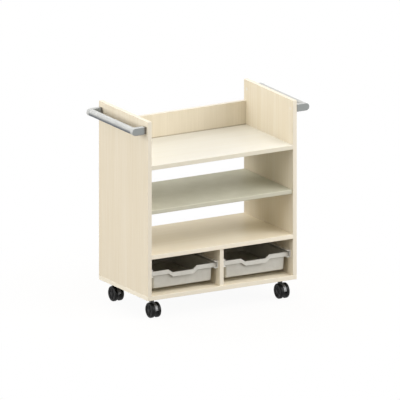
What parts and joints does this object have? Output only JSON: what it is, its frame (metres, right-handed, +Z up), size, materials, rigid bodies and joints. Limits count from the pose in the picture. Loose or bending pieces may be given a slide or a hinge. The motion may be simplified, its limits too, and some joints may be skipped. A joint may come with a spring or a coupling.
{
  "type": "serving trolley",
  "caption": "Maple-faced serving trolley on swivel casters, with open shelves, a low back rail, push handles at both ends and pull-out grey trays at the bottom.",
  "frame": {"origin": "on the floor under the middle of the trolley", "axes": "+Z up; +X along the trolley towards the right handle; the open tray front faces -Y"},
  "size_m": [0.833, 0.4, 0.837],
  "materials": {
    "maple_board": "pale maple melamine with eased edges",
    "grey_board": "warm grey laminate, satin",
    "beech_dowel": "fluted beech",
    "tray_plastic": "light grey moulded polystyrene",
    "runner_plastic": "pale grey extruded plastic",
    "satin_aluminium": "satin silver-grey tube",
    "silver_casting": "silver-grey coated casting",
    "dark_spacer": "dark grey moulded",
    "maple_cap": "maple-coloured cover cap",
    "zinc_plated_steel": "bright zinc",
    "caster_gloss_black": "gloss black nylon",
    "wheel_black": "black nylon"
  },
  "bodies": {
    "carcass": {"base_panel": "maple_board", "side_panel_left": "maple_board", "side_panel_right": "maple_board", "lower_shelf": "maple_board", "tray_divider": "maple_board", "tray_back_panel": "maple_board", "top_shelf": "maple_board", "back_rail": "maple_board", "middle_shelf": "grey_board", "shelf_pins": "zinc_plated_steel", "carcass_dowels": "beech_dowel", "handle_bar_left": "satin_aluminium", "handle_bar_right": "satin_aluminium", "handle_bracket_left_front": "silver_casting", "handle_bracket_left_rear": "silver_casting", "handle_bracket_right_front": "silver_casting", "handle_bracket_right_rear": "silver_casting", "handle_spacers": "dark_spacer", "handle_screws": "zinc_plated_steel", "handle_screw_caps": "maple_cap", "tray_runner_left_left": "runner_plastic", "tray_runner_left_right": "runner_plastic", "tray_runner_right_left": "runner_plastic", "tray_runner_right_right": "runner_plastic", "runner_screws": "zinc_plated_steel", "caster_front_left_plate": "zinc_plated_steel", "caster_front_right_plate": "zinc_plated_steel", "caster_rear_left_plate": "zinc_plated_steel", "caster_rear_right_plate": "zinc_plated_steel", "caster_kingpins": "zinc_plated_steel", "caster_screws": "zinc_plated_steel"},
    "tray_left": {"tray_left": "tray_plastic"},
    "tray_right": {"tray_right": "tray_plastic"},
    "caster_front_left": {"caster_front_left_hood": "caster_gloss_black", "caster_front_left_axle": "zinc_plated_steel"},
    "caster_front_left_wheel_left": {"caster_front_left_wheel_left": "wheel_black"},
    "caster_front_left_wheel_right": {"caster_front_left_wheel_right": "wheel_black"},
    "caster_front_right": {"caster_front_right_hood": "caster_gloss_black", "caster_front_right_axle": "zinc_plated_steel"},
    "caster_front_right_wheel_left": {"caster_front_right_wheel_left": "wheel_black"},
    "caster_front_right_wheel_right": {"caster_front_right_wheel_right": "wheel_black"},
    "caster_rear_left": {"caster_rear_left_hood": "caster_gloss_black", "caster_rear_left_axle": "zinc_plated_steel"},
    "caster_rear_left_wheel_left": {"caster_rear_left_wheel_left": "wheel_black"},
    "caster_rear_left_wheel_right": {"caster_rear_left_wheel_right": "wheel_black"},
    "caster_rear_right": {"caster_rear_right_hood": "caster_gloss_black", "caster_rear_right_axle": "zinc_plated_steel"},
    "caster_rear_right_wheel_left": {"caster_rear_right_wheel_left": "wheel_black"},
    "caster_rear_right_wheel_right": {"caster_rear_right_wheel_right": "wheel_black"}
  },
  "joints": [
    {"name": "tray_left_slide", "type": "slide", "parent": "carcass", "child": "tray_left", "axis": [0, -1, 0], "range_m": [0, 0.25]},
    {"name": "tray_right_slide", "type": "slide", "parent": "carcass", "child": "tray_right", "axis": [0, -1, 0], "range_m": [0, 0.25]},
    {"name": "caster_front_left_swivel", "type": "hinge", "parent": "carcass", "child": "caster_front_left", "pos_m": [-0.302, -0.146, 0.07], "axis": [0, 0, 1], "continuous": true},
    {"name": "caster_front_left_wheel_left_spin", "type": "hinge", "parent": "caster_front_left", "child": "caster_front_left_wheel_left", "pos_m": [-0.302, -0.16, 0.032], "axis": [1, 0, 0], "continuous": true},
    {"name": "caster_front_left_wheel_right_spin", "type": "hinge", "parent": "caster_front_left", "child": "caster_front_left_wheel_right", "pos_m": [-0.302, -0.16, 0.032], "axis": [1, 0, 0], "continuous": true},
    {"name": "caster_front_right_swivel", "type": "hinge", "parent": "carcass", "child": "caster_front_right", "pos_m": [0.302, -0.146, 0.07], "axis": [0, 0, 1], "continuous": true},
    {"name": "caster_front_right_wheel_left_spin", "type": "hinge", "parent": "caster_front_right", "child": "caster_front_right_wheel_left", "pos_m": [0.302, -0.16, 0.032], "axis": [1, 0, 0], "continuous": true},
    {"name": "caster_front_right_wheel_right_spin", "type": "hinge", "parent": "caster_front_right", "child": "caster_front_right_wheel_right", "pos_m": [0.302, -0.16, 0.032], "axis": [1, 0, 0], "continuous": true},
    {"name": "caster_rear_left_swivel", "type": "hinge", "parent": "carcass", "child": "caster_rear_left", "pos_m": [-0.302, 0.157, 0.07], "axis": [0, 0, 1], "continuous": true},
    {"name": "caster_rear_left_wheel_left_spin", "type": "hinge", "parent": "caster_rear_left", "child": "caster_rear_left_wheel_left", "pos_m": [-0.302, 0.143, 0.032], "axis": [1, 0, 0], "continuous": true},
    {"name": "caster_rear_left_wheel_right_spin", "type": "hinge", "parent": "caster_rear_left", "child": "caster_rear_left_wheel_right", "pos_m": [-0.302, 0.143, 0.032], "axis": [1, 0, 0], "continuous": true},
    {"name": "caster_rear_right_swivel", "type": "hinge", "parent": "carcass", "child": "caster_rear_right", "pos_m": [0.302, 0.157, 0.07], "axis": [0, 0, 1], "continuous": true},
    {"name": "caster_rear_right_wheel_left_spin", "type": "hinge", "parent": "caster_rear_right", "child": "caster_rear_right_wheel_left", "pos_m": [0.302, 0.143, 0.032], "axis": [1, 0, 0], "continuous": true},
    {"name": "caster_rear_right_wheel_right_spin", "type": "hinge", "parent": "caster_rear_right", "child": "caster_rear_right_wheel_right", "pos_m": [0.302, 0.143, 0.032], "axis": [1, 0, 0], "continuous": true}
  ]
}
